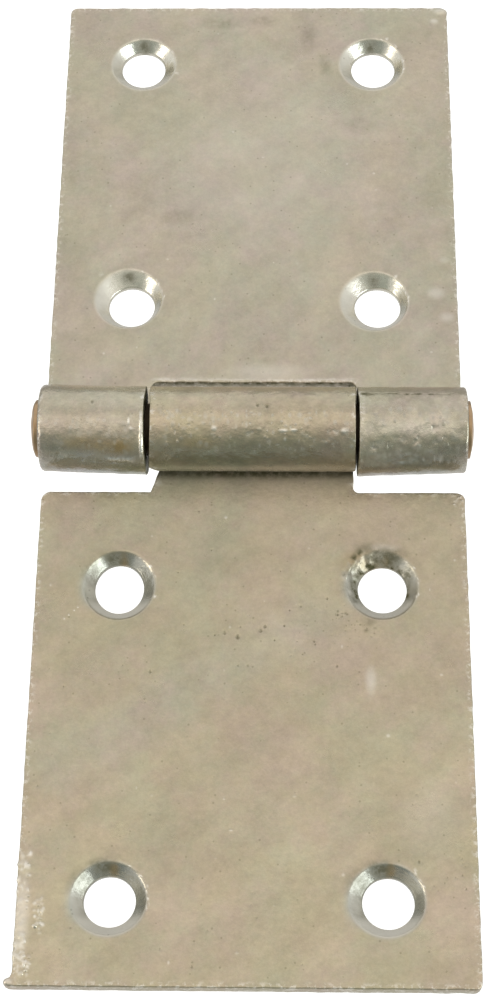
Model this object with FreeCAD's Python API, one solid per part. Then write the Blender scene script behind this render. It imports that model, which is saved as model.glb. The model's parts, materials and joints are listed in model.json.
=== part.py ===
import FreeCAD, Part
import math
import os

# Long-leaf strap hinge (a back-flap pattern) in galvanised sheet, opened flat.
#
# Frame: the origin is on the mounting plane, straight below the middle of the pin.
# +X runs along the pin, +Y points to the leaf with two knuckles, and +Z points away
# from the mounting plane, on the side of the countersinks and the barrel.
# All sizes are in millimetres.

# Sheet and leaves
LEAF_WIDTH = 50.0
LEAF_REACH = 65.0            # pin axis to the far edge of a leaf
SHEET = 2.0
CORNER_RADIUS = 1.0          # outer corners of both leaves
NOTCH_RADIUS = 0.6           # inside corners beside the knuckles
NOTCH_DEPTH = 8.0            # pin axis to the bottom of the notch in the two-knuckle leaf
SHOULDER_REACH = 6.65        # pin axis to the shoulders of the single-knuckle leaf

# Barrel
PIN_RADIUS = 3.0
RUNNING_CLEARANCE = 0.05     # radial, between the pin and the rolled knuckles
CENTRE_KNUCKLE = 24.0        # length of the single knuckle
KNUCKLE_GAP = 0.4            # axial gap on each side of it
CURL_WRAP = 288.0            # degrees of sheet rolled round the pin

# Pin heads: the ends of the pin are peened over the outer knuckles
HEAD_RADIUS = 3.4
HEAD_HEIGHT = 1.15
HEAD_CLEARANCE = 0.05        # axial, between a head and its knuckle

# Screw holes, four in each leaf, for 5 mm countersunk screws
HOLE_RADIUS = 2.8
SINK_RADIUS = 4.2
SINK_ANGLE = 90.0            # full angle of the countersink
HOLE_SPACING_X = 30.2
HOLE_SPACING_Y = 36.6
FIRST_ROW_TWO_KNUCKLE = 19.4     # pin axis to the nearer pair of holes
FIRST_ROW_SINGLE_KNUCKLE = 18.8

# Worked out from the sizes above
BORE_RADIUS = PIN_RADIUS + RUNNING_CLEARANCE
BARREL_RADIUS = BORE_RADIUS + SHEET
AXIS_HEIGHT = BARREL_RADIUS
HALF_WIDTH = LEAF_WIDTH / 2
HALF_KNUCKLE = CENTRE_KNUCKLE / 2
NOTCH_HALF_WIDTH = HALF_KNUCKLE + KNUCKLE_GAP

X_AXIS = FreeCAD.Vector(1, 0, 0)
Z_AXIS = FreeCAD.Vector(0, 0, 1)


def rounded_outline(corners):
    """Closed wire in the mounting plane through (x, y, radius) corners."""
    starts, ends, middles = [], [], []
    for index, (x, y, radius) in enumerate(corners):
        corner = FreeCAD.Vector(x, y, 0)
        before = FreeCAD.Vector(*corners[index - 1][:2], 0)
        after = FreeCAD.Vector(*corners[(index + 1) % len(corners)][:2], 0)
        back = (before - corner).normalize()
        ahead = (after - corner).normalize()
        half_angle = back.getAngle(ahead) / 2
        run = radius / math.tan(half_angle)
        to_arc = radius / math.sin(half_angle) - radius
        starts.append(corner + back * run)
        ends.append(corner + ahead * run)
        middles.append(corner + (back + ahead).normalize() * to_arc)
    edges = []
    for index, (x, y, radius) in enumerate(corners):
        if radius > 0:
            edges.append(Part.Arc(starts[index], middles[index], ends[index]).toShape())
        following = starts[(index + 1) % len(corners)]
        edges.append(Part.LineSegment(ends[index], following).toShape())
    return Part.Wire(edges)


def flat_leaf(corners):
    """Flat part of a leaf, from the line under the pin axis out to the far edge."""
    return Part.Face(rounded_outline(corners)).extrude(Z_AXIS * SHEET)


def around_pin(radius, wrap):
    """Point at a radius from the pin axis; wrap starts under the axis and turns to -Y."""
    angle = math.radians(wrap)
    return FreeCAD.Vector(0, -radius * math.sin(angle), AXIS_HEIGHT - radius * math.cos(angle))


def knuckle(x_start, x_end):
    """Sheet rolled round the pin, open where its free edge stops above the leaf."""
    middle = CURL_WRAP / 2
    outer = Part.Arc(*[around_pin(BARREL_RADIUS, wrap) for wrap in (0, middle, CURL_WRAP)])
    inner = Part.Arc(*[around_pin(BORE_RADIUS, wrap) for wrap in (CURL_WRAP, middle, 0)])
    free_edge = Part.LineSegment(outer.toShape().lastVertex().Point,
                                 inner.toShape().firstVertex().Point)
    root_edge = Part.LineSegment(around_pin(BORE_RADIUS, 0), around_pin(BARREL_RADIUS, 0))
    wire = Part.Wire([edge.toShape() for edge in (outer, free_edge, inner, root_edge)])
    section = Part.Face(wire)
    section.translate(X_AXIS * x_start)
    return section.extrude(X_AXIS * (x_end - x_start))


def countersunk_hole(x, y):
    """Cutter for one screw hole, with its cone open to the front face."""
    past_face = 1.0
    slope = math.tan(math.radians(SINK_ANGLE / 2))
    cone_depth = (SINK_RADIUS - HOLE_RADIUS) / slope
    bore = Part.makeCylinder(HOLE_RADIUS, SHEET + 2 * past_face,
                             FreeCAD.Vector(x, y, -past_face), Z_AXIS)
    cone = Part.makeCone(HOLE_RADIUS, SINK_RADIUS + past_face * slope, cone_depth + past_face,
                         FreeCAD.Vector(x, y, SHEET - cone_depth), Z_AXIS)
    return bore.fuse(cone)


def leaf(corners, knuckle_spans, first_row):
    """A whole leaf on the +Y side: flat sheet, rolled knuckles and four screw holes."""
    solid = flat_leaf(corners)
    for x_start, x_end in knuckle_spans:
        solid = solid.fuse(knuckle(x_start, x_end))
    for x in (-HOLE_SPACING_X / 2, HOLE_SPACING_X / 2):
        for y in (first_row, first_row + HOLE_SPACING_Y):
            solid = solid.cut(countersunk_hole(x, y))
    return solid.removeSplitter()


def two_knuckle_leaf():
    """Leaf with a notch in its middle and a knuckle on each side of the notch."""
    corners = [(HALF_WIDTH, 0, 0),
               (HALF_WIDTH, LEAF_REACH, CORNER_RADIUS),
               (-HALF_WIDTH, LEAF_REACH, CORNER_RADIUS),
               (-HALF_WIDTH, 0, 0),
               (-NOTCH_HALF_WIDTH, 0, 0),
               (-NOTCH_HALF_WIDTH, NOTCH_DEPTH, NOTCH_RADIUS),
               (NOTCH_HALF_WIDTH, NOTCH_DEPTH, NOTCH_RADIUS),
               (NOTCH_HALF_WIDTH, 0, 0)]
    spans = [(-HALF_WIDTH, -NOTCH_HALF_WIDTH), (NOTCH_HALF_WIDTH, HALF_WIDTH)]
    return leaf(corners, spans, FIRST_ROW_TWO_KNUCKLE)


def single_knuckle_leaf():
    """Leaf whose middle tab is rolled into one knuckle; turned round to the -Y side."""
    corners = [(HALF_KNUCKLE, 0, 0),
               (HALF_KNUCKLE, SHOULDER_REACH, NOTCH_RADIUS),
               (HALF_WIDTH, SHOULDER_REACH, CORNER_RADIUS),
               (HALF_WIDTH, LEAF_REACH, CORNER_RADIUS),
               (-HALF_WIDTH, LEAF_REACH, CORNER_RADIUS),
               (-HALF_WIDTH, SHOULDER_REACH, CORNER_RADIUS),
               (-HALF_KNUCKLE, SHOULDER_REACH, NOTCH_RADIUS),
               (-HALF_KNUCKLE, 0, 0)]
    solid = leaf(corners, [(-HALF_KNUCKLE, HALF_KNUCKLE)], FIRST_ROW_SINGLE_KNUCKLE)
    solid.rotate(FreeCAD.Vector(0, 0, 0), Z_AXIS, 180)
    return solid


def hinge_pin():
    """Round pin with a shallow dome peened on each end."""
    head_start = HALF_WIDTH + HEAD_CLEARANCE
    tip = head_start + HEAD_HEIGHT
    dome = (HEAD_RADIUS ** 2 + HEAD_HEIGHT ** 2) / (2 * HEAD_HEIGHT)
    half_cap = math.asin(HEAD_RADIUS / dome) / 2
    dome_x = tip - dome * (1 - math.cos(half_cap))
    dome_z = dome * math.sin(half_cap)

    def point(x, z):
        return FreeCAD.Vector(x, 0, AXIS_HEIGHT + z)

    profile = [Part.Arc(point(-tip, 0), point(-dome_x, dome_z), point(-head_start, HEAD_RADIUS)),
               Part.LineSegment(point(-head_start, HEAD_RADIUS), point(-head_start, PIN_RADIUS)),
               Part.LineSegment(point(-head_start, PIN_RADIUS), point(head_start, PIN_RADIUS)),
               Part.LineSegment(point(head_start, PIN_RADIUS), point(head_start, HEAD_RADIUS)),
               Part.Arc(point(head_start, HEAD_RADIUS), point(dome_x, dome_z), point(tip, 0)),
               Part.LineSegment(point(tip, 0), point(-tip, 0))]
    face = Part.Face(Part.Wire([edge.toShape() for edge in profile]))
    return face.revolve(point(0, 0), X_AXIS, 360)


def main():
    os.makedirs("parts", exist_ok=True)
    nodes = {"two_knuckle_leaf": two_knuckle_leaf(),
             "single_knuckle_leaf": single_knuckle_leaf(),
             "hinge_pin": hinge_pin()}
    for name, shape in nodes.items():
        shape.exportStep(os.path.join("parts", name + ".step"))
        box = shape.BoundBox
        print(f"{name}: solids {len(shape.Solids)}, valid {shape.isValid()}, "
              f"volume {shape.Volume:.1f} mm3, "
              f"box {box.XLength:.2f} x {box.YLength:.2f} x {box.ZLength:.2f} mm")


main()
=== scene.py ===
"""Looks of the galvanised strap hinge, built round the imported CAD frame.

Each leaf is made as the real one is: a flat blank with punched, softly rounded edges and
countersunk holes, whose tongues are then rolled round the pin. A place on a blank is
(x, s, n): x along the pin, s out from the line under the pin and negative on the rolled
tongues, and n up from the back of the sheet, which becomes the outside of the barrel.
Lengths on a blank are in millimetres; the finished meshes are in metres, in the frame of
the CAD parts.
"""

import json
import math
from collections import namedtuple

import bmesh
import bpy
import numpy as np
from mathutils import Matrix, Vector
from mathutils.geometry import delaunay_2d_cdt
from mathutils.kdtree import KDTree


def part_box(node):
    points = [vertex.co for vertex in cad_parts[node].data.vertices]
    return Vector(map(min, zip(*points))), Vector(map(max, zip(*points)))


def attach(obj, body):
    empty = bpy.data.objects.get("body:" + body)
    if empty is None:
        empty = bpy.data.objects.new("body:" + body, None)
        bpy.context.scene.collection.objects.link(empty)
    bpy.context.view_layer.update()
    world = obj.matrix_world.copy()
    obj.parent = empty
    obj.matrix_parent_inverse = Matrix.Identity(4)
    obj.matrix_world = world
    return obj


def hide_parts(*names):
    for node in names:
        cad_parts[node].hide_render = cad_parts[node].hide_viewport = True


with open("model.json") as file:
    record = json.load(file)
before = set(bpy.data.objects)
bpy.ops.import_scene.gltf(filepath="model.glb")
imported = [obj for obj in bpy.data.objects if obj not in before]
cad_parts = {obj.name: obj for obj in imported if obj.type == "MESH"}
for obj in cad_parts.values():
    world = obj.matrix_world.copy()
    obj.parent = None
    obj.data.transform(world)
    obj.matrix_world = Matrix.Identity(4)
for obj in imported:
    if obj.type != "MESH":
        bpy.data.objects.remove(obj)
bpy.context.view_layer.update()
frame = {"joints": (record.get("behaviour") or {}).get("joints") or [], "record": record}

MM = 0.001

# Driving sizes, read from the frame where it holds them (millimetres)
leaf_low, leaf_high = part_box("two_knuckle_leaf")
pin_low, pin_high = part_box("hinge_pin")
mounts = {mount["name"]: mount for mount in frame["record"]["mounts"]}
HALF_WIDTH = leaf_high.x / MM
LEAF_REACH = leaf_high.y / MM
BARREL_RADIUS = (leaf_high.z - leaf_low.z) / 2 / MM
SHEET = 2.0
PIN_RADIUS = BARREL_RADIUS - SHEET - 0.05
MIDDLE_RADIUS = BARREL_RADIUS - SHEET / 2
CURL_LENGTH = MIDDLE_RADIUS * math.radians(288)
NOTCH_DEPTH = 8.0
SHOULDER_REACH = 6.65
HOLE_RADIUS = 2.8
SINK_RADIUS = 4.2

# Where the centre knuckle ends and the outer ones start, before their ends are dished
HALF_KNUCKLE = 12.0
OUTER_KNUCKLE = 12.25

# Angle above the horizon, in front of the pin, at which the knuckles' ends are worn most, and
# the cosines of the angles from it within which they are worn fully, and at all
WORN_SIDE = math.radians(64)
FULL_WEAR = 0.82
ANY_WEAR = 0.5

# How much the zinc's bead narrows the notch
NOTCH_BEAD = 0.12

# Height in the sheet that parts the back's marks from the front's
MARKS_PART = 0.55

# Rounding of the sheet's edges, on the side of the countersinks and on the back
FRONT_ROUND = 0.2
BACK_ROUND = 0.25


# ---------------------------------------------------------------- fields over the surface

def smooth_noise(points, wavelength, seed, waves=24):
    """Smooth random field over points (n, k), about -1 to 1, made of plane waves."""
    rng = np.random.default_rng(seed)
    size = points.shape[1]
    directions = rng.normal(size=(waves, size))
    directions /= np.linalg.norm(directions, axis=1)[:, None]
    lengths = wavelength * rng.uniform(0.7, 1.5, waves)
    phases = rng.uniform(0, 2 * math.pi, waves)
    angles = points @ (directions / lengths[:, None]).T * 2 * math.pi + phases
    return np.cos(angles).sum(axis=1) / math.sqrt(waves / 2) / 2


def fade(values, near, far):
    """1 below near, 0 above far, smooth between."""
    t = np.clip((far - values) / (far - near), 0, 1)
    return t * t * (3 - 2 * t)


def patch(blank, x, s, half_x, half_s):
    """1 in the middle of an elliptical patch of the blank, 0 outside it."""
    reach = np.hypot((blank[:, 0] - x) / half_x, (blank[:, 1] - s) / half_s)
    return fade(reach, 0.15, 1.0)


# A hole is its bore and its countersink, which were made one after the other and so aren't
# quite in line; a tall one is longer out from the pin than it is wide
Hole = namedtuple("Hole", "bore bore_tall sink sink_tall")

# A mark is a small rise or dent in the zinc: its middle, its half widths, how far it rises,
# and how dark or pale it is
Mark = namedtuple("Mark", "x s half_x half_s rise dark pale")


def pit(x, s, size):
    return Mark(x, s, size * 1.3, size * 1.3, -0.6 * size, 0.85, 0.0)


def lump(x, s, half_x, half_s, rise=0.05, pale=0.5):
    return Mark(x, s, half_x, half_s, rise, 0.0, pale)


def scatter(seed, count, middle, spread, sizes, rises, dark=0.0, pale=0.0):
    """Random small marks in a patch of the blank."""
    rng = np.random.default_rng(seed)
    marks = []
    for _ in range(count):
        x, s = np.array(middle) + rng.uniform(-1, 1, 2) * spread
        half_x, half_s = rng.uniform(*sizes, 2)
        strength = rng.uniform(0.2, 1)
        marks.append(Mark(x, s, half_x, half_s, rng.uniform(*rises), dark * strength,
                          pale * strength))
    return marks


def round_hole(seed, count, hole, angles, reaches, sizes, rises, dark, pale):
    """Random marks round a hole, between two angles in degrees and two distances."""
    rng = np.random.default_rng(seed)
    marks = []
    for angle in np.radians(rng.uniform(*angles, count)):
        reach = rng.uniform(*reaches)
        half_x, half_s = rng.uniform(*sizes, 2)
        marks.append(Mark(hole[0] + reach * math.cos(angle), hole[1] + reach * math.sin(angle),
                          half_x, half_s, rng.uniform(*rises), dark * rng.uniform(0, 1), pale))
    return marks


def rim_flecks(seed, hole, start, stop):
    """Small raised beads of zinc on part of a countersink's rim, painted pale: pale zinc and painted
    glints.
    """
    return round_hole(seed, 12, hole, (start, stop), (4.05, 4.5), (0.08, 0.2), (0.0, 0.05),
                      0.0, 0.9)


def line_along_pin(seed, start, stop, s, rise, dark=0.0, pale=0.0):
    """Thin broken line along the pin's direction: zinc that ran and set along the notch, and on the
    knuckles a painted reflection of an edge.
    """
    rng = np.random.default_rng(seed)
    marks = []
    for x in np.arange(start, stop, 0.7):
        half_x, half_s = rng.uniform(0.5, 1.1), rng.uniform(0.14, 0.28)
        strength = rng.uniform(0.3, 1)
        marks.append(Mark(x, s + rng.normal(0, 0.07), half_x, half_s, rise, dark * strength,
                          pale * strength))
    return marks


# ---------------------------------------------------------------- outline of a blank

class Outline:
    """Closed outline of a blank in (x, s), with an inward normal at each point."""

    def __init__(self, corners, seed, step=0.3):
        places, normals, rooms = [], [], []
        arcs = [self.corner_arc(corners, index) for index in range(len(corners))]
        for index, (arc_points, arc_normals, radius, convex) in enumerate(arcs):
            places.extend(arc_points)
            normals.extend(arc_normals)
            rooms.extend([radius if convex else math.inf] * len(arc_points))
            start = arc_points[-1]
            run = arcs[(index + 1) % len(arcs)][0][0] - start
            count = max(1, round(np.linalg.norm(run) / step))
            along = run / np.linalg.norm(run)
            for share in np.arange(1, count) / count:
                places.append(start + run * share)
                normals.append(np.array([-along[1], along[0]]))
                rooms.append(math.inf)
        self.normals = np.array(normals)
        self.rooms = np.array(rooms)
        places = np.array(places)
        wobble = 0.05 + 0.03 * np.clip(smooth_noise(places, 2.5, seed), -1, 1)
        wobble *= 1 - 0.6 * fade(places[:, 1], -1.0, 1.5)
        self.places = places + self.normals * wobble[:, None]

    @staticmethod
    def corner_arc(corners, index):
        """Points and inward normals round one corner of an anticlockwise outline."""
        x, s, radius = corners[index]
        corner = np.array([x, s])
        before = np.array(corners[index - 1][:2]) - corner
        after = np.array(corners[(index + 1) % len(corners)][:2]) - corner
        before /= np.linalg.norm(before)
        after /= np.linalg.norm(after)
        half = math.acos(float(np.clip(before @ after, -1, 1))) / 2
        convex = before[0] * after[1] - before[1] * after[0] < 0
        bisector = (before + after) / np.linalg.norm(before + after)
        centre = corner + bisector * radius / math.sin(half)
        first = corner + before * radius / math.tan(half) - centre
        last = corner + after * radius / math.tan(half) - centre
        start = math.atan2(first[1], first[0])
        turn = math.atan2(first[0] * last[1] - first[1] * last[0], first @ last)
        count = max(5, round(abs(turn) * radius / 0.1))
        angles = start + turn * np.linspace(0, 1, count)
        outward = np.stack([np.cos(angles), np.sin(angles)], axis=1)
        inward = -outward if convex else outward
        return list(centre + outward * radius), list(inward), radius, convex

    def offset(self, distance):
        return self.places + self.normals * np.asarray(distance).reshape(-1, 1)

    def distance_from(self, points):
        """Distance from each point to the nearest outline point."""
        tree = KDTree(len(self.places))
        for index, (x, s) in enumerate(self.places):
            tree.insert((x, s, 0), index)
        tree.balance()
        return np.array([tree.find((x, s, 0))[2] for x, s in points])


def inside(points, polygon):
    """True for each point inside a closed polygon, by crossings along +x."""
    found = np.zeros(len(points), bool)
    x, s = points[:, 0], points[:, 1]
    for (x0, s0), (x1, s1) in zip(polygon, np.roll(polygon, -1, axis=0)):
        if s0 == s1:
            continue
        between = (s0 > s) != (s1 > s)
        found ^= between & (x < x0 + (s - s0) * (x1 - x0) / (s1 - s0))
    return found


# ---------------------------------------------------------------- mesh of a leaf

class MeshParts:
    """Collects vertices in blank coordinates (x, s, n) and faces, and joins them."""

    def __init__(self):
        self.blocks, self.faces, self.count = [], [], 0

    def add(self, points, faces):
        self.blocks.append(np.asarray(points, float))
        self.faces.extend(tuple(int(v) + self.count for v in face) for face in faces)
        self.count += len(points)

    def joined(self):
        """Vertices with doubles merged, and the faces that keep their corners."""
        points = np.concatenate(self.blocks)
        keys = np.round(points / 2e-3).astype(np.int64)
        _, first, index = np.unique(keys, axis=0, return_index=True, return_inverse=True)
        index = index.reshape(-1)
        merged = [tuple(index[v] for v in face) for face in self.faces]
        return points[first], [f for f in merged if len(set(f)) == len(f)]


def loop_strip(rings):
    """Points and quads of closed rings (each n by 3), one after the other."""
    count = len(rings[0])
    faces = []
    for ring in range(len(rings) - 1):
        low, high = ring * count, (ring + 1) * count
        for index in range(count):
            ahead = (index + 1) % count
            faces.append((low + index, low + ahead, high + ahead, high + index))
    return np.concatenate(rings), faces


def with_height(flat, height):
    height = np.broadcast_to(np.asarray(height, float), (len(flat),))
    return np.column_stack([flat, height])


def edge_rings(outline, back_round, front_round, steps=4):
    """Rings from the back face round the cut edge to the front face."""
    rings = []
    for angle in np.linspace(0, math.pi / 2, steps + 1):
        height = back_round * (1 - math.cos(angle))
        rings.append(with_height(outline.offset(back_round * (1 - math.sin(angle))), height))
    rings.append(with_height(outline.places, SHEET / 2))
    for angle in np.linspace(0, math.pi / 2, steps + 1):
        height = SHEET - front_round * (1 - math.sin(angle))
        rings.append(with_height(outline.offset(front_round * (1 - math.cos(angle))), height))
    return rings


# Radius and height round a hole: a softened back edge, the bore, and a 90 degree cone
CONE_START = SHEET - (SINK_RADIUS - HOLE_RADIUS)
HOLE_PROFILE = ([(HOLE_RADIUS + 0.14, 0.0), (HOLE_RADIUS + 0.04, 0.04), (HOLE_RADIUS, 0.14),
                 (HOLE_RADIUS, 0.35), (HOLE_RADIUS, CONE_START - 0.04),
                 (HOLE_RADIUS + 0.04, CONE_START + 0.06)]
                + [(HOLE_RADIUS + rise, CONE_START + rise) for rise in np.linspace(0.15, 1.15, 8)]
                + [(SINK_RADIUS - 0.12, SHEET - 0.13), (SINK_RADIUS - 0.02, SHEET - 0.06),
                   (SINK_RADIUS + 0.1, SHEET - 0.02), (SINK_RADIUS + 0.26, SHEET)])
HOLE_SEGMENTS = 96


def hole_ring(hole, radius, height, segments=HOLE_SEGMENTS):
    """Ring (x, s) of a hole at a height: its countersink's centre in front, its bore's behind."""
    share = min(1.0, (SHEET - height) / (SHEET - CONE_START))
    centre = hole.sink + (hole.bore - hole.sink) * share
    tall = hole.sink_tall + (hole.bore_tall - hole.sink_tall) * share
    angles = np.arange(segments) * 2 * math.pi / segments
    return centre + radius * np.stack([np.cos(angles), tall * np.sin(angles)], axis=1)


def hex_grid(low, high, step):
    rows = []
    for row, s in enumerate(np.arange(low[1], high[1], step * 0.866)):
        xs = np.arange(low[0] + (row % 2) * step / 2, high[0], step)
        rows.append(np.stack([xs, np.full(len(xs), s)], axis=1))
    return np.concatenate(rows)


def face_grid(outline, marks, rolled_step, flat_step):
    """Inner points of a face: finer on the rolled tongues, and finest over the marks."""
    low, high = outline.places.min(axis=0), outline.places.max(axis=0)
    grid = np.concatenate([hex_grid(low, (high[0], 1.5), rolled_step),
                           hex_grid((low[0], 1.5), high, flat_step)])
    for mark in sorted(marks, key=lambda mark: -min(mark.half_x, mark.half_s)):
        half = np.array([mark.half_x, mark.half_s])
        middle = np.array([mark.x, mark.s])
        reach = np.linalg.norm((grid - middle) / half, axis=1)
        fine = hex_grid(middle - half * 1.1, middle + half * 1.1, max(0.06, half.min() / 2.5))
        fine = fine[np.linalg.norm((fine - middle) / half, axis=1) < 1.1]
        grid = np.concatenate([grid[reach > 1.25], fine])
    return grid


def face_sheet(outline, inset, holes, hole_radius, height, marks, steps):
    """One face of the blank: triangles between the rounded edge and the holes."""
    border = outline.offset(inset)
    rims = [hole_ring(hole, hole_radius, height) for hole in holes]
    loops = [border] + rims
    inner = []
    for extra in (0.12, 0.26, 0.42, 0.62, 0.82):
        depth = inset + extra
        stride = 1 if extra < 0.8 else 2
        inner.append(outline.offset(depth)[outline.rooms > depth / 0.7][::stride])
    for hole in holes:
        inner.append(hole_ring(hole, hole_radius + 0.12, height))
        inner.append(hole_ring(hole, hole_radius + 0.4, height, HOLE_SEGMENTS // 2))
    grid = face_grid(outline, marks, *steps)
    grid = grid[inside(grid, outline.places)]
    grid = grid[outline.distance_from(grid) > np.max(inset) + 1.0]
    for hole in holes:
        grid = grid[~inside(grid, hole_ring(hole, hole_radius + 0.55, height))]
    points = np.concatenate(loops + inner + [grid])
    edges, start = [], 0
    for loop in loops:
        edges += [(start + i, start + (i + 1) % len(loop)) for i in range(len(loop))]
        start += len(loop)
    found, _, triangles, *_ = delaunay_2d_cdt([Vector(p) for p in points], edges, [], 0, 1e-5)
    found = np.array(found)
    triangles = np.array(triangles)
    centres = found[triangles].mean(axis=1)
    keep = inside(centres, border)
    for rim in rims:
        keep &= ~inside(centres, rim)
    return with_height(found, height), triangles[keep]


def rolled_up(blank, side):
    """Blank points (x, s, n) bent round the pin; side is +1 or -1 along Y."""
    x, s, n = blank.T
    turn = np.clip(-s, 0, None) / MIDDLE_RADIUS
    radius = BARREL_RADIUS - n
    y = np.where(s >= 0, s, -radius * np.sin(turn))
    z = np.where(s >= 0, n, BARREL_RADIUS - radius * np.cos(turn))
    return np.column_stack([x, side * y, z])


def face_outwards(mesh):
    work = bmesh.new()
    work.from_mesh(mesh)
    bmesh.ops.recalc_face_normals(work, faces=work.faces)
    work.to_mesh(mesh)
    work.free()


def new_piece(name, mesh):
    mesh.shade_smooth()
    piece = bpy.data.objects.new(name, mesh)
    bpy.context.scene.collection.objects.link(piece)
    return piece


class Leaf:
    """A leaf of the hinge: its blank, its marks, its stain patches and patches of painted light, and
    the mesh made from them.

    A stain patch, or a patch of painted shade, highlight or reflection, is its middle (x, s), its
    half widths and its strength. Each of the films is the least share of dull coat in one hole's
    countersink.
    """

    def __init__(self, name, side, seed, corners, mount, hole_errors):
        self.name, self.side, self.seed = name, side, seed
        self.outline = Outline(corners, seed)
        self.holes = self.drilled(mount, hole_errors)
        self.films = [0.0] * len(self.holes)
        self.front_marks, self.back_marks = [], []
        self.stains_and_painted_light = {"warm": [], "cool": [], "pale": [], "dark": []}

    def drilled(self, mount, errors):
        """Holes of the leaf's bolt pattern, each with the small errors of its making."""
        reach = mount["pos_m"][1] * self.side / MM
        half_x = mount["dims"]["spacing_x_mm"] / 2
        half_y = mount["dims"]["spacing_y_mm"] / 2
        places = [(x, reach + y) for y in (-half_y, half_y) for x in (-half_x, half_x)]
        return [Hole(np.add(place, bore), bore_tall, np.add(place, sink), sink_tall)
                for place, (bore, bore_tall, sink, sink_tall) in zip(places, errors)]

    def at_sinks(self, x, s, *rest):
        """The same patch in every countersink, at a distance (x, s) from its middle: painted shade,
        highlights and reflections that fall alike in each cone.
        """
        return [(*(hole.sink + (x, s)), *rest) for hole in self.holes]

    def back_round(self, places):
        """Rounding of the back edge: large on the outer ends of the barrel, more so on the
        left one, and small between the knuckles."""
        rolled = fade(places[:, 1], -1.0, 1.5)
        outer = fade(HALF_WIDTH - np.abs(places[:, 0]), 0.5, 1.5)
        outer_extra = np.where(places[:, 0] < 0, 0.45, 0.2)
        return BACK_ROUND + rolled * (outer_extra * outer - 0.13)

    def build(self):
        outline, holes = self.outline, self.holes
        back_round = self.back_round(outline.places)
        front_round = np.full(len(outline.places), FRONT_ROUND)
        parts = MeshParts()
        parts.add(*loop_strip(edge_rings(outline, back_round, front_round)))
        for hole in holes:
            parts.add(*loop_strip([with_height(hole_ring(hole, radius, height), height)
                                   for radius, height in HOLE_PROFILE]))
        parts.add(*face_sheet(outline, front_round, holes, HOLE_PROFILE[-1][0], SHEET,
                              self.front_marks, (0.5, 0.36)))
        parts.add(*face_sheet(outline, back_round, holes, HOLE_PROFILE[0][0], 0.0,
                              self.back_marks, (0.3, 0.6)))
        blank, faces = parts.joined()
        places = rolled_up(blank, self.side)
        mesh = bpy.data.meshes.new(self.name)
        mesh.from_pydata((places * MM).tolist(), [], faces)
        face_outwards(mesh)
        normals = np.zeros(len(blank) * 3, np.float32)
        mesh.vertex_normals.foreach_get("vector", normals)
        edge_distance = outline.distance_from(blank[:, :2])
        rise = self.relief(blank, places, edge_distance)
        moved = places + normals.reshape(-1, 3) * rise[:, None] + self.bends(blank, places)
        moved[:, 2] = np.clip(moved[:, 2], 0.0, leaf_high.z / MM)
        mesh.vertices.foreach_set("co", (moved * MM).astype(np.float32).ravel())
        self.add_masks(mesh, blank, edge_distance)
        mesh.update()
        return new_piece(self.name, mesh)

    def marked(self, blank):
        """Each mark with its patch, on its own side of the sheet."""
        for marks, side in ((self.front_marks, blank[:, 2] > MARKS_PART),
                            (self.back_marks, blank[:, 2] < MARKS_PART)):
            for mark in marks:
                yield mark, side * patch(blank, *mark[:4])

    def relief(self, blank, places, edge_distance):
        """Rise of the dipped surface along its normal; nothing where parts run close."""
        rolled = fade(blank[:, 1], -1.5, 0.5)
        rise = (smooth_noise(places, 16.0, self.seed) * 0.010
                + smooth_noise(places, 4.0, self.seed + 1) * 0.004
                + smooth_noise(places, 1.7, self.seed + 2) * 0.024 * rolled
                + smooth_noise(places, 0.9, self.seed + 4, 40) * 0.010 * rolled
                + smooth_noise(places, 1.3, self.seed + 3) * 0.02 * fade(edge_distance, 0.2, 1.0)
                - 0.025 - 0.02 * rolled)
        for mark, share in self.marked(blank):
            rise += share * mark.rise
        rise *= 1 - rolled * fade(edge_distance, 0.03, 0.25)
        hidden = (blank[:, 1] < 0.5) & (blank[:, 2] > SHEET / 2)
        return np.where(hidden, 0.0, rise) + self.lip(blank, edge_distance)

    def lip(self, blank, edge_distance):
        return 0.0

    def bends(self, blank, places):
        return 0.0

    @staticmethod
    def dish(places):
        """How far the knuckles' sheared ends are dished at a place round the barrel: the gap
        between them is widest up front, and narrow at the barrel's crown and foot."""
        spoke = places[:, 1:] - (0.0, BARREL_RADIUS)
        facing = spoke @ (-math.cos(WORN_SIDE), math.sin(WORN_SIDE)) / np.linalg.norm(spoke, axis=1)
        return 1 - fade(facing, ANY_WEAR, FULL_WEAR)

    def painted_gap_shade(self, blank, edge_distance):
        """Painted shade on the knuckles' sheared ends, in the gaps between them, and round the notch
        of the leaf that has one.
        """
        from_middle = np.abs(blank[:, 0])
        ends = fade(edge_distance, 0.02, 0.08) * (blank[:, 1] < 5.0)
        notch = fade(edge_distance, 0.03, 0.17) * (blank[:, 1] > 1.0) * (self.side > 0)
        low_on_far_wall = fade(blank[:, 2], 1.0, 1.7) * (from_middle < HALF_KNUCKLE - 0.5)
        notch *= 1 - 0.6 * low_on_far_wall
        beside = (from_middle < HALF_KNUCKLE + 0.6) & (blank[:, 1] < NOTCH_DEPTH + 0.5)
        return 1.2 * beside * np.maximum(notch, ends)

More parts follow.
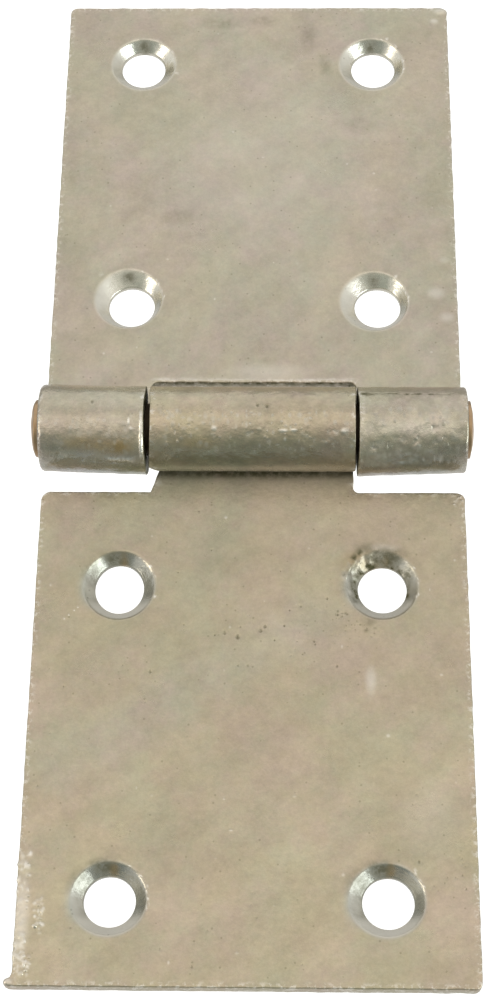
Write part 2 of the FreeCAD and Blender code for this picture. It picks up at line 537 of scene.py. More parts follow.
    def add_masks(self, mesh, blank, edge_distance):
        """Vertex masks that the zinc reads. The dull coat in a countersink lies on its -Y side, and
        thinner on its -X side, as painted light there; in the dirty hole it covers the whole cone as
        a real coat."""
        sink, film_and_painted_light = np.zeros(len(blank)), np.zeros(len(blank))
        for hole, least_film in zip(self.holes, self.films):
            away = blank[:, :2] - hole.sink
            reach = np.linalg.norm(away, axis=1)
            inside_sink = fade(reach, SINK_RADIUS - 0.4, SINK_RADIUS + 0.3)
            sink = np.maximum(sink, inside_sink)
            # Painted light: the coat's share on the cone's -Y side, and thinner on its -X side.
            painted_light_side = np.maximum(fade(away[:, 1] * self.side, -2.6, -0.6),
                                0.6 * fade(away[:, 0], -3.4, -1.4))
            film_and_painted_light = np.maximum(film_and_painted_light, inside_sink * np.maximum(painted_light_side, least_film))
        masks = {"sink": sink, "film_and_painted_light": film_and_painted_light, "edge": fade(edge_distance, 0.1, 0.9),
                 "barrel": fade(blank[:, 1], -2.0, 1.0) * (blank[:, 2] < SHEET / 2),
                 "crevice": fade(blank[:, 1], 5.0, 9.0) * (blank[:, 2] > SHEET / 2)}
        # Stain patches and patches of painted light become masks by name.
        for name, stains_and_painted_light in self.stains_and_painted_light.items():
            masks[name] = np.zeros(len(blank))
            for *place, strength in stains_and_painted_light:
                masks[name] = np.maximum(masks[name], patch(blank, *place) * strength)
        # Painted shade in the gaps between the knuckles and round the notch joins the dark mask.
        masks["dark"] = np.maximum(masks["dark"], self.painted_gap_shade(blank, edge_distance))
        for mark, share in self.marked(blank):
            masks["dark"] = np.maximum(masks["dark"], share * mark.dark)
            masks["pale"] = np.maximum(masks["pale"], share * mark.pale)
        for name, values in masks.items():
            attribute = mesh.attributes.new(name, "FLOAT", "POINT")
            attribute.data.foreach_set("value", values.astype(np.float32))


# ---------------------------------------------------------------- the two leaves

class TwoKnuckleLeaf(Leaf):
    """The leaf whose two outer knuckles hold the pin."""

    # How far each outer knuckle's foot spreads towards the middle, and the right one's all along
    LEFT_FLARE = 0.52
    RIGHT_FLARE = 0.55
    RIGHT_SAG = 0.1

    # How far the left knuckle's outer end stands out over the leaf
    LEFT_CROWN = 0.35

    # How far the knuckles' inner ends are dished, and lean in towards the pin
    END_DISH = 0.13
    END_LEAN = 0.05

    def __init__(self):
        notch = NOTCH_DEPTH - NOTCH_BEAD
        hole_errors = [((-0.18, 0.0), 1.0, (-0.55, 0.45), 1.0),
                       ((0.03, -0.06), 1.0, (-0.42, 0.12), 1.0),
                       ((0.05, -0.25), 1.0, (0.14, -0.36), 0.965),
                       ((-0.03, -0.3), 1.0, (-0.26, -0.36), 0.975)]
        corners = [(HALF_WIDTH, -CURL_LENGTH, 0.8), (HALF_WIDTH, LEAF_REACH, 1.0),
                   (-HALF_WIDTH, LEAF_REACH, 0.9), (-HALF_WIDTH, -CURL_LENGTH, 0.8),
                   (-OUTER_KNUCKLE - 0.3, -CURL_LENGTH, 0.5), (-OUTER_KNUCKLE, notch, 0.7),
                   (OUTER_KNUCKLE, notch, 0.7), (OUTER_KNUCKLE, -CURL_LENGTH, 0.5)]
        super().__init__("leaf_with_two_knuckles", 1, 11, corners,
                         mounts["two_knuckle_leaf_holes"], hole_errors)
        self.front_marks = (
            scatter(1, 26, (0, 36), (23, 26), (0.1, 0.2), (-0.08, -0.03), dark=0.5)
            + scatter(2, 24, (0, 36), (23, 26), (0.12, 0.3), (0.01, 0.03), pale=0.5)
            + [lump(24.0, 64.2, 1.3, 0.7, 0.2), lump(23.2, 62.6, 0.8, 0.6, 0.08)])
        self.front_marks += line_along_pin(34, -12.0, 12.2, NOTCH_DEPTH + 0.35, 0.03, pale=0.6)
        for index, hole in enumerate(self.holes):
            self.front_marks += rim_flecks(50 + index, hole.sink, -20, 70)
        hook = [lump(-14.3, -11.5, 0.2, 0.55, 0.07, 1.0), lump(-13.95, -10.9, 0.42, 0.22, 0.06, 1.0)]
        dashes = [lump(x, -7.9, 0.45, 0.38, 0.07, 1.2) for x in np.arange(-16.6, -13.7, 0.55)]
        # A ridge along the left knuckle's inner end, painted pale as a painted highlight.
        burr_and_glint = [lump(-12.75, s, 0.26, 0.6, 0.12, 1.0) for s in np.arange(-12.0, -8.2, 0.5)]
        self.back_marks = (
            hook + dashes + burr_and_glint + [pit(-18.6, -13.5, 0.2)]
            + scatter(3, 90, (-18.8, -9.6), (5.6, 2.6), (0.15, 0.5), (-0.03, 0.035), 0.35, 0.4)
            + scatter(4, 130, (18.8, -10.2), (5.8, 2.8), (0.2, 0.62), (-0.07, 0.065), 0.5, 0.4)
            # Dark lines along the outer knuckles: a painted reflection of an edge in the room, on a
            # faint groove.
            + line_along_pin(32, -24.0, -13.2, -15.65, -0.01, dark=0.3)
            + line_along_pin(33, 13.0, 24.6, -14.75, -0.02, dark=1.6))
        self.stains_and_painted_light["warm"] = [(-15.9, -9.2, 3.8, 1.2, 0.8), (-19.0, -9.4, 4.5, 1.1, 0.6)]
        # Cool patches over the outer knuckles' fronts are a painted reflection of the dim room.
        self.stains_and_painted_light["cool"] = [(x, -6.4, 10.0, 3.0, 0.8) for x in (-18.8, 18.8)]
        # The pale band along the top of the left knuckle is a painted reflection.
        self.stains_and_painted_light["pale"] = [(22.3, 20.7, 1.6, 1.2, 0.35), (23.6, 17.2, 1.4, 1.0, 0.35),
                               (23.5, 25.5, 1.0, 0.6, 0.25), (1.5, 9.5, 7.0, 1.6, 0.25),
                               (-18.8, -7.4, 7.0, 1.8, 0.35), (-18.8, -16.6, 8.0, 1.0, 0.6),
                               (18.8, -10.9, 8.0, 1.0, 0.2), (1.0, 40.0, 17.0, 22.0, 0.12)]
        scuffs = [(-5.3, 62.4, 4.0, 1.6, 0.3), (0.3, 62.8, 3.0, 1.2, 0.25),
                  (6.6, 60.0, 1.4, 3.4, 0.3), (8.8, 55.0, 1.2, 2.6, 0.3),
                  (13.0, 46.0, 3.0, 1.8, 0.22), (-10.0, 31.8, 3.2, 1.6, 0.25),
                  (-23.4, 39.0, 1.2, 5.0, 0.2)]
        dull_sides = [(x, 36, 6.0, 42, 0.06) for x in (-25, 25)]
        # Dark bands round the knuckles are painted shade.
        painted_knuckle_shade = [(18.7, -14.9, 10.0, 2.6, 0.4), (18.7, -8.4, 9.0, 2.0, 0.42),
                       (-18.7, -12.4, 9.0, 1.6, 0.12)]
        # The dark patch in every countersink, on the cone's side away from the pin, is a painted
        # reflection of the dim room.
        self.stains_and_painted_light["dark"] = (scuffs + dull_sides + painted_knuckle_shade
                               + self.at_sinks(-0.1, 3.4, 1.3, 1.1, 0.95))

    def lip(self, blank, edge_distance):
        """Beaded rim of zinc along the front edge of the notch."""
        beside = ((np.abs(blank[:, 0]) < HALF_KNUCKLE + 1.3) & (blank[:, 1] > 5.0)
                  & (blank[:, 1] < NOTCH_DEPTH + 1.2) & (blank[:, 2] > SHEET / 2))
        beads = 0.6 + 0.5 * smooth_noise(blank[:, :2], 1.1, 31)
        return np.where(beside, 0.1 * beads * np.exp(-((edge_distance - 0.4) / 0.28) ** 2), 0.0)

    def bends(self, blank, places):
        """The knuckles flare a little towards the middle on the side away from their leaf,
        and their sheared ends are dished and lean in towards the pin."""
        x, _, height = blank.T
        rolled = fade(blank[:, 1], -2.0, 0.0)
        inward = np.clip((HALF_WIDTH - np.abs(x)) / HALF_KNUCKLE, 0, 1)
        outer_left = np.clip(-2 * x / HALF_WIDTH - 1, 0, 1)
        foot = np.clip(-places[:, 1] / BARREL_RADIUS, 0, 1) ** 2
        crown = np.clip(places[:, 1] / BARREL_RADIUS, 0, 1) ** 2
        spread = np.where(x < 0, self.LEFT_FLARE * inward,
                          self.RIGHT_SAG + self.RIGHT_FLARE * inward)
        near_end = fade(np.abs(x) - OUTER_KNUCKLE, 0.4, 1.6)
        apart = self.END_DISH * self.dish(places) - self.END_LEAN * height / SHEET
        flare = np.zeros_like(places)
        flare[:, 0] = rolled * near_end * np.sign(x) * apart
        flare[:, 1] = rolled * (self.LEFT_CROWN * outer_left * crown - spread * foot)
        return flare


class SingleKnuckleLeaf(Leaf):
    """The leaf whose one knuckle turns on the middle of the pin."""

    # How far the knuckle's ends spread where they aren't worn, and lean out towards the pin
    END_SPREAD = 0.1
    END_LEAN = 0.03

    # Which of the holes is dirty: the one near the pin, on the right
    DIRTY = 1

    def __init__(self):
        corners = [(HALF_KNUCKLE, -CURL_LENGTH, 0.5),
                   (HALF_KNUCKLE - 0.05, SHOULDER_REACH, 0.6),
                   (HALF_WIDTH, SHOULDER_REACH, 1.1), (HALF_WIDTH, LEAF_REACH, 0.9),
                   (-HALF_WIDTH - 1.0, LEAF_REACH, 0.4), (-HALF_WIDTH, LEAF_REACH - 1.4, 1.4),
                   (-HALF_WIDTH, SHOULDER_REACH, 1.3), (-HALF_KNUCKLE - 0.1, SHOULDER_REACH, 0.12),
                   (-HALF_KNUCKLE + 1.4, 2.2, 1.5), (-HALF_KNUCKLE, -4.0, 3.0),
                   (-HALF_KNUCKLE + 0.1, -14.6, 8.0),
                   (-HALF_KNUCKLE - 0.1, -CURL_LENGTH + 1.1, 0.3),
                   (-HALF_KNUCKLE + 1.0, -CURL_LENGTH, 0.4)]
        hole_errors = [((-0.22, -0.15), 1.09, (-0.17, -0.07), 1.02),
                       ((0.02, -0.2), 1.03, (-0.07, -0.23), 1.02),
                       ((0.16, 0.07), 0.99, (0.11, 0.04), 0.96),
                       ((0.08, 0.03), 1.0, (-0.12, 0.0), 0.94)]
        super().__init__("leaf_with_single_knuckle", -1, 23, corners,
                         mounts["single_knuckle_leaf_holes"], hole_errors)
        self.films[self.DIRTY] = 0.45
        dirty_hole = self.holes[self.DIRTY].sink
        trail = [(-4.1, 24.9, 0.12), (-3.0, 24.6, 0.22), (-1.5, 25.1, 0.3), (-1.2, 23.9, 0.12),
                 (1.1, 24.3, 0.26), (1.6, 23.8, 0.22), (3.8, 23.7, 0.15), (2.7, 25.5, 0.13),
                 (4.4, 21.8, 0.14), (5.7, 21.3, 0.14), (7.2, 25.6, 0.15), (8.7, 20.3, 0.16),
                 (9.9, 22.3, 0.14), (-0.3, 28.6, 0.15), (-1.4, 28.6, 0.13), (9.8, 28.6, 0.18),
                 (-11.35, 29.4, 0.2), (-5.8, 62.8, 0.16), (18.5, 51.2, 0.17)]
        scratch = [lump(x, 20.8 + (x + 19.1) * -0.95, 0.16, 0.13, 0.02, 0.7)
                   for x in (-19.0, -19.4, -19.9, -20.3, -20.9, -21.4)]
        self.front_marks = (
            [pit(*place) for place in trail] + scratch
            + round_hole(5, 70, dirty_hole, (170, 280), (3.0, 4.7), (0.15, 0.5), (-0.12, 0.14),
                         0.9, 0.25)
            + round_hole(16, 40, dirty_hole, (150, 385), (2.8, 3.2), (0.3, 0.8), (-0.02, 0.02),
                         1.8, 0.0)
            + round_hole(13, 22, dirty_hole, (95, 150), (4.6, 6.6), (0.1, 0.3), (-0.06, 0.02),
                         0.8, 0.0)
            + scatter(6, 30, (9.0, 24.0), (4.5, 3.5), (0.08, 0.18), (-0.08, 0.03), dark=0.7)
            + scatter(7, 30, (0, 36), (24, 27), (0.08, 0.18), (-0.08, -0.03), dark=0.6)
            + scatter(8, 26, (0, 36), (24, 27), (0.12, 0.35), (0.01, 0.03), pale=0.5)
            + scatter(9, 12, (22.0, 52.5), (2.0, 2.0), (0.1, 0.18), (-0.08, -0.04), dark=0.7)
            + scatter(10, 70, (-24.3, 56.5), (0.65, 6.0), (0.2, 0.5), (0.04, 0.14), pale=1.0)
            + scatter(14, 26, (-22.4, 57.4), (0.5, 1.9), (0.15, 0.4), (0.03, 0.12), pale=0.9)
            + scatter(15, 26, (-23.9, 62.7), (0.9, 1.0), (0.15, 0.4), (0.03, 0.12), pale=0.9)
            + [lump(-25.3, 64.5, 0.7, 0.6, 0.3, 0.5)]
            + scatter(11, 12, (24.2, 7.7), (0.6, 0.8), (0.12, 0.3), (0.01, 0.06), pale=0.9))
        for index, hole in enumerate(self.holes):
            self.front_marks += rim_flecks(60 + index, hole.sink, -60, 20)
        self.back_marks = (
            [lump(-4.4, -14.6, 0.5, 0.35, 0.05, 0.8), lump(3.6, -14.8, 0.8, 0.22, 0.06, 0.9),
             lump(4.8, -14.75, 0.6, 0.2, 0.06, 0.9), lump(3.8, -15.6, 0.25, 0.3, 0.04, 0.6),
             lump(10.7, -14.8, 0.7, 0.35, 0.06, 0.9), pit(0.6, -12.3, 0.22), pit(1.7, -12.4, 0.25)]
            + scatter(12, 170, (0, -14.9), (11, 2.0), (0.12, 0.45), (-0.035, 0.04), 0.35, 0.45))
        # Warm patches: one on the knuckle, a rusty stain round the dirty hole, and in every
        # countersink a painted brownish reflection on the cone's side towards the pin.
        self.stains_and_painted_light["warm"] = ([(-6.5, -16.0, 4.5, 1.0, 0.3),
                                (*(dirty_hole + (-1.5, -2.8)), 4.5, 2.4, 0.45)]
                               + self.at_sinks(0.45, -3.4, 0.8, 1.1, 0.65))
        wiped_band = [(x, 27.0 - 0.63 * x, 6.0, 5.0, 0.2) for x in np.arange(-21.0, 11.0, 4.0)]
        # Cool patches: a painted reflection of the dim room across the knuckle's front, a wiped band
        # over the leaf, and in every countersink a painted cool highlight on its -X side.
        self.stains_and_painted_light["cool"] = ([(0.0, -19.2, 24.0, 3.2, 1.0)] + wiped_band
                               + self.at_sinks(-3.4, 0.3, 1.8, 3.4, 1.0))
        # The long pale band along the knuckle's free edge is a painted highlight.
        self.stains_and_painted_light["pale"] = [(13.6, 30.3, 0.9, 2.4, 0.4), (15.3, 14.0, 2.6, 0.9, 0.35),
                               (-24.3, 57.5, 1.3, 7.0, 0.45), (-11.2, 5.6, 0.7, 0.6, 0.45),
                               (20.0, 46.5, 5.0, 6.0, 0.12), (0.0, -19.4, 26.0, 0.9, 0.3)]
        darkening = [(-0.5, -0.8, 6.0, 6.2, 0.55), (-2.6, -4.1, 0.6, 0.7, 1.3),
                (-3.2, -3.4, 0.5, 0.9, 1.3), (-3.3, -0.1, 0.7, 1.2, 1.2),
                (-3.1, 1.7, 0.8, 0.8, 0.8), (0.4, -3.6, 3.8, 1.8, 1.0),
                (3.0, -1.5, 1.0, 1.7, 0.9), (-2.9, -1.8, 1.2, 1.8, 1.0),
                (-1.8, -4.4, 2.2, 1.4, 0.6), (-1.6, 4.6, 1.4, 0.9, 0.45),
                (-1.9, 5.7, 0.5, 0.4, 0.7)]
        # Dark patches: dark deposits round the dirty hole; in every countersink a painted reflection
        # of the dim room on the cone's side towards the pin, and painted shade on its side towards
        # the pin and -X; a band of painted shade under the knuckle's free edge; a faint patch of
        # painted shade nearer the barrel; and a faint band across the knuckle's front.
        self.stains_and_painted_light["dark"] = ([(*(dirty_hole + (x, s)), *rest) for x, s, *rest in darkening]
                               + self.at_sinks(-0.7, -3.5, 2.3, 1.2, 1.0)
                               + self.at_sinks(-2.9, -1.6, 2.2, 2.4, 0.6)
                               + [(0.0, 4.2, 26.0, 1.1, 1.1), (1.0, 15.5, 10.0, 4.5, 0.08),
                                  (0.0, -16.6, 16.0, 1.2, 0.12)])

    def bends(self, blank, places):
        """The knuckle's sheared ends spread where they aren't worn, and lean out to the pin."""
        x, _, height = blank.T
        near_end = fade(HALF_KNUCKLE - np.abs(x), 0.4, 1.6)
        out = self.END_SPREAD * (1 - self.dish(places)) + self.END_LEAN * height / SHEET
        lean = np.zeros_like(places)
        lean[:, 0] = out * fade(blank[:, 1], -2.0, 0.0) * near_end * np.sign(x)
        return lean


# ---------------------------------------------------------------- the pin

def lathe(name, profile, axis_height, segments=144):
    """Closed mesh turned round the pin axis from (x, radius) points in millimetres."""
    angles = np.arange(segments) * 2 * math.pi / segments
    points, faces = loop_strip([np.column_stack([np.full(segments, x), radius * np.cos(angles),
                                                 axis_height + radius * np.sin(angles)])
                                for x, radius in profile[1:-1]])
    first_tip, last_tip = len(points), len(points) + 1
    last_ring = len(points) - segments
    for index in range(segments):
        ahead = (index + 1) % segments
        faces.append((first_tip, ahead, index))
        faces.append((last_tip, last_ring + index, last_ring + ahead))
    tips = [(x, 0, axis_height) for x in (profile[0][0], profile[-1][0])]
    mesh = bpy.data.meshes.new(name)
    mesh.from_pydata((np.concatenate([points, tips]) * MM).tolist(), [], faces)
    face_outwards(mesh)
    return mesh


# How much shorter than the CAD's each head was hammered
LEFT_FLATTER = 0.05
RIGHT_FLATTER = 0.25


def peened_pin():
    """The pin with a shallow, slightly uneven dome hammered on each end."""
    head_radius = (pin_high.y - pin_low.y) / 2 / MM
    tip = pin_high.x / MM
    head_start = HALF_WIDTH + 0.05
    rim, corner = 0.4, 0.12
    half = [(0.0, PIN_RADIUS), (head_start - 1.0, PIN_RADIUS), (head_start - 0.02, PIN_RADIUS),
            (head_start, PIN_RADIUS + 0.05), (head_start, head_radius - corner)]
    for angle in np.radians(np.arange(-75, 1, 15)):
        half.append((head_start + corner * (1 + math.sin(angle)),
                     head_radius - corner * (1 - math.cos(angle))))
    for angle in np.radians(np.arange(0, 91, 5)):
        half.append((head_start + rim + (tip - head_start - rim) * math.sin(angle),
                     head_radius * math.cos(angle)))
    profile = [(-x, radius) for x, radius in reversed(half)] + half[1:]
    mesh = lathe("peened_pin", profile, BARREL_RADIUS)
    places = np.zeros(len(mesh.vertices) * 3, np.float32)
    mesh.vertices.foreach_get("co", places)
    places = places.reshape(-1, 3) / MM
    beaten = smooth_noise(places, 2.4, 41) * 0.05 - 0.05
    head = np.clip((np.abs(places[:, 0]) - head_start - rim) / 0.3, 0, 1)
    flatter = np.where(places[:, 0] > 0, RIGHT_FLATTER, LEFT_FLATTER)
    places[:, 0] += np.sign(places[:, 0]) * (beaten - flatter * head) * head
    mesh.vertices.foreach_set("co", (places * MM).ravel())
    shaft = mesh.attributes.new("shaft", "FLOAT", "POINT")
    shaft.data.foreach_set("value", (1 - np.clip(np.abs(places[:, 0]) - HALF_WIDTH + 1, 0, 1)))
    radius = np.hypot(places[:, 1], places[:, 2] - BARREL_RADIUS)
    rim_darkening = mesh.attributes.new("rim", "FLOAT", "POINT")
    rim_darkening.data.foreach_set("value", 1 - fade(radius, 0.75 * head_radius, head_radius))
    return new_piece("peened_pin", mesh)


# ---------------------------------------------------------------- materials

class Nodes:
    """Short names for building a node tree."""

    def __init__(self, tree):
        self.tree = tree

    def put(self, socket, value):
        if isinstance(value, bpy.types.NodeSocket):
            self.tree.links.new(value, socket)
        else:
            socket.default_value = value

    def add(self, kind, inputs=None, **settings):
        node = self.tree.nodes.new(kind)
        for name, value in settings.items():
            setattr(node, name, value)
        for name, value in (inputs or {}).items():
            self.put(node.inputs[name], value)
        return node

    def noise(self, place, scale, detail=4.0, roughness=0.55):
        return self.add("ShaderNodeTexNoise", {"Vector": place, "Scale": scale, "Detail": detail,
                                               "Roughness": roughness}).outputs["Fac"]

    def math(self, operation, first, second=0.0):
        return self.add("ShaderNodeMath", {0: first, 1: second}, operation=operation).outputs[0]

    def remap(self, value, low, high, to_low=0.0, to_high=1.0, kind="SMOOTHSTEP"):
        return self.add("ShaderNodeMapRange", {"Value": value, "From Min": low, "From Max": high,
                                               "To Min": to_low, "To Max": to_high},
                        interpolation_type=kind).outputs["Result"]

    def mix(self, factor, first, second):
        node = self.add("ShaderNodeMix", data_type="RGBA")
        for socket, value in ((0, factor), (6, first), (7, second)):
            self.put(node.inputs[socket], value)
        return node.outputs[2]

    def shade(self, colour, noise, swing):
        """The colour made lighter and darker by a noise, by half the swing each way."""
        factor = self.remap(noise, 0, 1, 1 - swing / 2, 1 + swing / 2, "LINEAR")
        return self.add("ShaderNodeVectorMath", {0: colour, "Scale": factor},
                        operation="SCALE").outputs["Vector"]

    def specks(self, place, scale, size, share):
        """Mask of small round specks, in this share of the cells of a Voronoi pattern."""
        cells = self.add("ShaderNodeTexVoronoi", {"Vector": place, "Scale": scale})
        draw = self.add("ShaderNodeSeparateColor", {"Color": cells.outputs["Color"]})
        chosen = self.math("LESS_THAN", draw.outputs["Red"], share)
        return self.math("MULTIPLY", chosen,
                         self.remap(cells.outputs["Distance"], size * 0.5, size, 1, 0))

    def attribute(self, name):
        return self.add("ShaderNodeAttribute", attribute_name=name).outputs["Fac"]


def new_material(name):
    material = bpy.data.materials.new(name)
    material.use_nodes = True
    material.node_tree.nodes.clear()
    nodes = Nodes(material.node_tree)
    shader = nodes.add("ShaderNodeBsdfPrincipled")
    output = nodes.add("ShaderNodeOutputMaterial")
    material.node_tree.links.new(shader.outputs[0], output.inputs[0])
    return material, nodes, shader


def tinted(tint, *factors):
    return tuple(t * f for t, f in zip(tint, factors)) + (1,)


def bare_zinc(nodes, place, tint, barrel):
    """Colour of clean zinc: faint tinted clouds, fine grain and wipe marks, and stronger
    clouds where the barrel mask is 1."""
    green_or_rose = nodes.remap(nodes.noise(place, 95, 5, 0.75), 0.35, 0.65)
    colour = nodes.mix(green_or_rose, tinted(tint, 0.95, 1.02, 0.96),
                       tinted(tint, 1.04, 0.98, 1.02))
    sallow = nodes.remap(nodes.noise(place, 130, 5, 0.8), 0.35, 0.65)
    colour = nodes.mix(nodes.math("MULTIPLY", sallow, 0.5), colour, tinted(tint, 1.02, 1.0, 0.87))
    colour = nodes.shade(colour, nodes.noise(place, 150, 7, 0.95), 0.85)
    colour = nodes.shade(colour, nodes.noise(place, 3200, 2, 0.8), 0.1)
    wiped = nodes.add("ShaderNodeMapping", {"Vector": place, "Rotation": (0, 0, math.radians(38)),
                                            "Scale": (0.015, 0.004, 0.015)},
                      vector_type="TEXTURE").outputs["Vector"]
    colour = nodes.shade(colour, nodes.noise(wiped, 1, 4, 0.6), 0.34)
    return nodes.mix(barrel, colour, nodes.shade(colour, nodes.noise(place, 450, 5, 0.8), 0.8))


def zinc(name, tint, finish_tint):
    """Dull hot-dip zinc with specks, stain patches, and painted shade, highlights and reflections.
    The countersinks have a finish of their own, with a dull coat where its mask is 1: a real coat in
    the dirty hole, painted light on one side of every cone."""
    material, nodes, shader = new_material(name)
    place = nodes.add("ShaderNodeTexCoord").outputs["Object"]
    barrel, sink, edge = (nodes.attribute(mask) for mask in ("barrel", "sink", "edge"))
    colour = bare_zinc(nodes, place, tint, barrel)
    cooled = nodes.add("ShaderNodeVectorMath", {0: colour, 1: (0.92, 1.07, 1.32)},
                       operation="MULTIPLY").outputs["Vector"]
    colour = nodes.mix(nodes.attribute("cool"), colour, cooled)
    finish = nodes.shade(finish_tint, nodes.noise(place, 330, 4, 0.7), 0.9)
    # Dull coat in the countersinks: painted light on one side of every cone, and a real coat in the
    # dirty hole.
    film_and_painted_light = nodes.attribute("film_and_painted_light")
    colour = nodes.mix(sink, colour, nodes.mix(film_and_painted_light, finish, (0.62, 0.59, 0.52, 1)))
    # Warm tint where the warm mask is set: rusty stain patches, and in the countersinks a painted
    # brownish reflection.
    rust_and_painted_reflection = nodes.math("MULTIPLY", nodes.attribute("warm"),
                      nodes.remap(nodes.noise(place, 600, 3, 0.6), 0.35, 0.6, 0.55, 1.0))
    colour = nodes.mix(rust_and_painted_reflection, colour, (0.48, 0.32, 0.13, 1))
    # Pale marks, and random specks along the edges, are mixed towards near-white: pale zinc,
    # lightened further as painted glints.
    edge_flecks_and_glints = nodes.remap(nodes.noise(place, 1500, 3, 0.7), 0.5, 0.62)
    bright = nodes.math("MAXIMUM", nodes.math("MULTIPLY", nodes.math("MULTIPLY", edge, edge_flecks_and_glints), 0.5),
                        nodes.math("MULTIPLY", nodes.attribute("pale"), 0.9))
    colour = nodes.mix(bright, colour, (0.92, 0.88, 0.8, 1))
    # Dark marks, stain patches and dark specks darken the zinc; the dark mask also carries painted
    # shade and painted reflections.
    mottle = nodes.remap(nodes.noise(place, 1100, 4, 0.7), 0.35, 0.6, 0.45, 1.0)
    darkening = nodes.math("MAXIMUM", nodes.math("MULTIPLY", nodes.attribute("dark"), mottle),
                      nodes.math("MULTIPLY", nodes.specks(place, 1000, 0.16, 0.35), 0.35))
    colour = nodes.mix(nodes.math("MULTIPLY", darkening, 0.85), colour, (0.085, 0.078, 0.03, 1))
    nodes.put(shader.inputs["Base Color"], colour)

    crevice = nodes.attribute("crevice")
    dull = nodes.math("MAXIMUM", nodes.math("MULTIPLY", crevice, 0.7),
                      nodes.math("MAXIMUM", nodes.math("MULTIPLY", film_and_painted_light, 0.8), darkening))
    nodes.put(shader.inputs["Metallic"], nodes.remap(dull, 0, 1, 0.96, 0.4))
    rough = nodes.remap(nodes.noise(place, 160, 4, 0.6), 0.3, 0.7, 0.27, 0.35)
    rough = nodes.math("ADD", rough, nodes.math("MULTIPLY", dull, 0.22))
    rough = nodes.math("SUBTRACT", rough, nodes.math("MULTIPLY", barrel, 0.05))
    nodes.put(shader.inputs["Roughness"], nodes.math("SUBTRACT", rough,
                                                     nodes.math("MULTIPLY", sink, 0.1)))
    height = nodes.math("ADD", nodes.noise(place, 1500, 3, 0.7), nodes.noise(place, 520, 3, 0.6))
    strength = nodes.math("MAXIMUM", nodes.remap(barrel, 0, 1, 0.45, 1.0), edge)
    bump = nodes.add("ShaderNodeBump", {"Height": height, "Strength": strength,
                                        "Distance": 0.00007})
    nodes.put(shader.inputs["Normal"], bump.outputs[0])
    return material


def copper_brass(name):
    """Tarnished brass on the heads, darker towards their rims, and a dull shaft between the
    knuckles, painted dark as painted shade.
    """
    material, nodes, shader = new_material(name)
    place = nodes.add("ShaderNodeTexCoord").outputs["Object"]
    tarnish = nodes.noise(place, 420, 4, 0.65)
    colour = nodes.mix(nodes.remap(tarnish, 0.38, 0.65), (0.62, 0.44, 0.27, 1),
                       (0.5, 0.34, 0.2, 1))
    # Darker towards each head's rim.
    rim = nodes.math("MULTIPLY", nodes.attribute("rim"), 0.4)
    colour = nodes.mix(rim, colour, (0.2, 0.13, 0.07, 1))
    # The shaft, seen only through the narrow gaps between the knuckles, is painted dark: painted
    # shade.
    shaft = nodes.attribute("shaft")
    colour = nodes.mix(shaft, colour, (0.08, 0.06, 0.04, 1))
    nodes.put(shader.inputs["Base Color"], colour)
    shader.inputs["Metallic"].default_value = 1.0
    rough = nodes.remap(tarnish, 0.3, 0.7, 0.28, 0.42)
    nodes.put(shader.inputs["Roughness"], nodes.math("ADD", rough,
                                                     nodes.math("MULTIPLY", shaft, 0.3)))
    bump = nodes.add("ShaderNodeBump", {"Height": nodes.noise(place, 1100, 3, 0.6),
                                        "Strength": 0.5, "Distance": 0.00005})
    nodes.put(shader.inputs["Normal"], bump.outputs[0])
    return material


# ---------------------------------------------------------------- stage, lights, camera

def floor():
    """Pale floor well under the hinge, so that a leaf can also swing below the pin."""
    size, drop = 4.0, -0.075
    corners = [(-size, -size, drop), (size, -size, drop), (size, size, drop), (-size, size, drop)]
    mesh = bpy.data.meshes.new("floor")
    mesh.from_pydata(corners, [], [(0, 1, 2, 3)])
    piece = new_piece("floor", mesh)
    material, _, shader = new_material("pale_floor")
    shader.inputs["Base Color"].default_value = (0.9, 0.9, 0.9, 1)
    shader.inputs["Roughness"].default_value = 1.0
    shader.inputs["Specular IOR Level"].default_value = 0.0
    shader.inputs["Emission Color"].default_value = (1, 1, 1, 1)
    shader.inputs["Emission Strength"].default_value = 0.45
    mesh.materials.append(material)
    piece.visible_glossy = False


# Light of the studio by angle in degrees, from the front horizon over the top to the back
SKY_BANDS = [(-30, (0.3, 0.33, 0.32)), (15, (0.29, 0.325, 0.31)), (40, (0.4, 0.43, 0.385)),
             (50, (0.53, 0.54, 0.48)), (64, (0.74, 0.73, 0.68)), (78, (1.05, 1.02, 0.96)),
             (95, (1.15, 1.12, 1.05)), (105, (1.03, 1.0, 0.95)), (114, (0.82, 0.81, 0.79)),
             (121, (0.85, 0.84, 0.83)), (134, (1.02, 1.01, 1.0)), (180, (0.93, 0.94, 0.96))]
SKY_FIRST, SKY_LAST = -30, 210


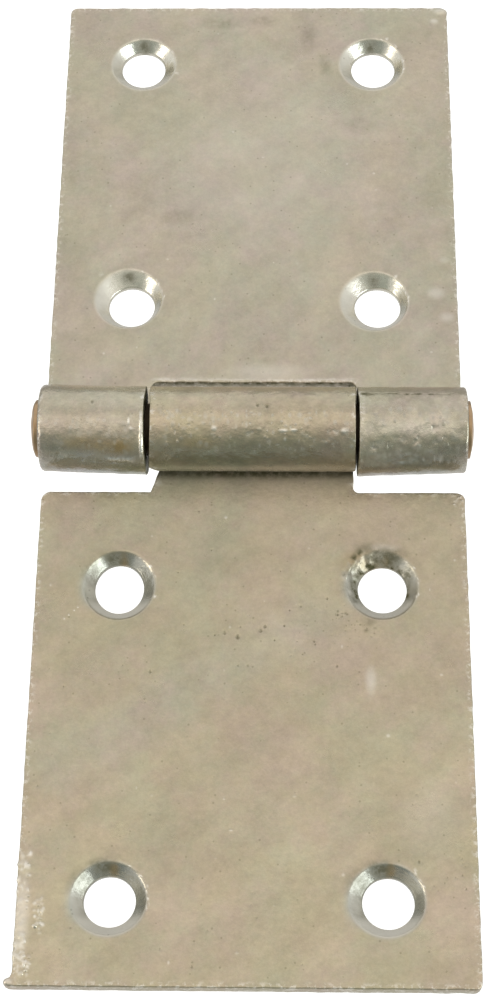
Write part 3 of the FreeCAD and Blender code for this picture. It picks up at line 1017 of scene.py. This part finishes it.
def studio_sky():
    """Soft panels overhead, behind and at the sides, and a dim room in front."""
    world = bpy.data.worlds.new("studio")
    bpy.context.scene.world = world
    world.use_nodes = True
    world.node_tree.nodes.clear()
    nodes = Nodes(world.node_tree)
    direction = nodes.add("ShaderNodeTexCoord").outputs["Generated"]
    x, y, z = nodes.add("ShaderNodeSeparateXYZ", {"Vector": direction}).outputs
    angle = nodes.math("ARCTAN2", z, nodes.math("MULTIPLY", y, -1.0))
    share = nodes.remap(angle, math.radians(SKY_FIRST), math.radians(SKY_LAST), kind="LINEAR")
    bands = nodes.add("ShaderNodeValToRGB", {"Fac": share})
    stops = bands.color_ramp.elements
    stops.remove(stops[1])
    for index, (degrees, colour) in enumerate(SKY_BANDS):
        position = (degrees - SKY_FIRST) / (SKY_LAST - SKY_FIRST)
        stop = stops[0] if index == 0 else stops.new(position)
        stop.position = position
        stop.color = colour + (1,)
    side = nodes.remap(nodes.math("ABSOLUTE", x), 0.5, 0.85)
    side_colour = nodes.mix(nodes.remap(z, 0.1, 0.6), (0.85, 0.86, 0.85, 1), (0.9, 0.89, 0.86, 1))
    colour = nodes.mix(side, bands.outputs["Color"], side_colour)
    below_colour = nodes.mix(nodes.remap(z, -0.25, -0.8), (0.44, 0.45, 0.43, 1),
                             (0.75, 0.75, 0.74, 1))
    colour = nodes.mix(nodes.remap(z, 0.02, -0.1), colour, below_colour)
    background = nodes.add("ShaderNodeBackground", {"Color": colour, "Strength": 1.0})
    output = nodes.add("ShaderNodeOutputWorld")
    world.node_tree.links.new(background.outputs[0], output.inputs[0])


def softbox(name, place, size, radiance, colour):
    """Rectangular light that faces the hinge."""
    light = bpy.data.lights.new(name, "AREA")
    light.shape = "RECTANGLE"
    light.size, light.size_y = size
    light.energy = radiance * math.pi * size[0] * size[1]
    light.color = colour
    lamp = bpy.data.objects.new(name, light)
    lamp.location = place
    lamp.rotation_euler = (-Vector(place)).to_track_quat("-Z", "Y").to_euler()
    bpy.context.scene.collection.objects.link(lamp)


def camera():
    """The camera stands in front of the single-knuckle leaf, 62 degrees up."""
    data = bpy.data.cameras.new("camera")
    data.lens = 73.93
    data.clip_start = 0.01
    holder = bpy.data.objects.new("camera", data)
    pin_axis = Vector(frame["joints"][0]["pos_m"])
    holder.location = pin_axis + Vector((0.004333, -0.112887, 0.214132))
    holder.rotation_euler = [math.radians(turn) for turn in (25.832, 1.059, 0.753)]
    bpy.context.scene.collection.objects.link(holder)
    bpy.context.scene.camera = holder


# ---------------------------------------------------------------- assembly

def dress(piece, body, node, material):
    piece.data.materials.append(material)
    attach(piece, body)
    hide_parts(node)


dress(TwoKnuckleLeaf().build(), "two_knuckle_side", "two_knuckle_leaf",
      zinc("zinc_two_knuckle_leaf", (0.5, 0.45, 0.365), (0.72, 0.69, 0.6)))
dress(SingleKnuckleLeaf().build(), "single_knuckle_side", "single_knuckle_leaf",
      zinc("zinc_single_knuckle_leaf", (0.49, 0.425, 0.32), (0.5, 0.49, 0.43)))
dress(peened_pin(), "two_knuckle_side", "hinge_pin", copper_brass("copper_brass"))

floor()
studio_sky()
softbox("right_window", (0.86, -0.41, 0.31), (0.75, 0.5), 2.8, (0.86, 0.97, 1.0))
softbox("left_window", (-0.87, -0.22, 0.42), (0.4, 0.35), 2.3, (1.0, 0.93, 0.8))
camera()

bpy.context.scene.view_settings.view_transform = "Standard"
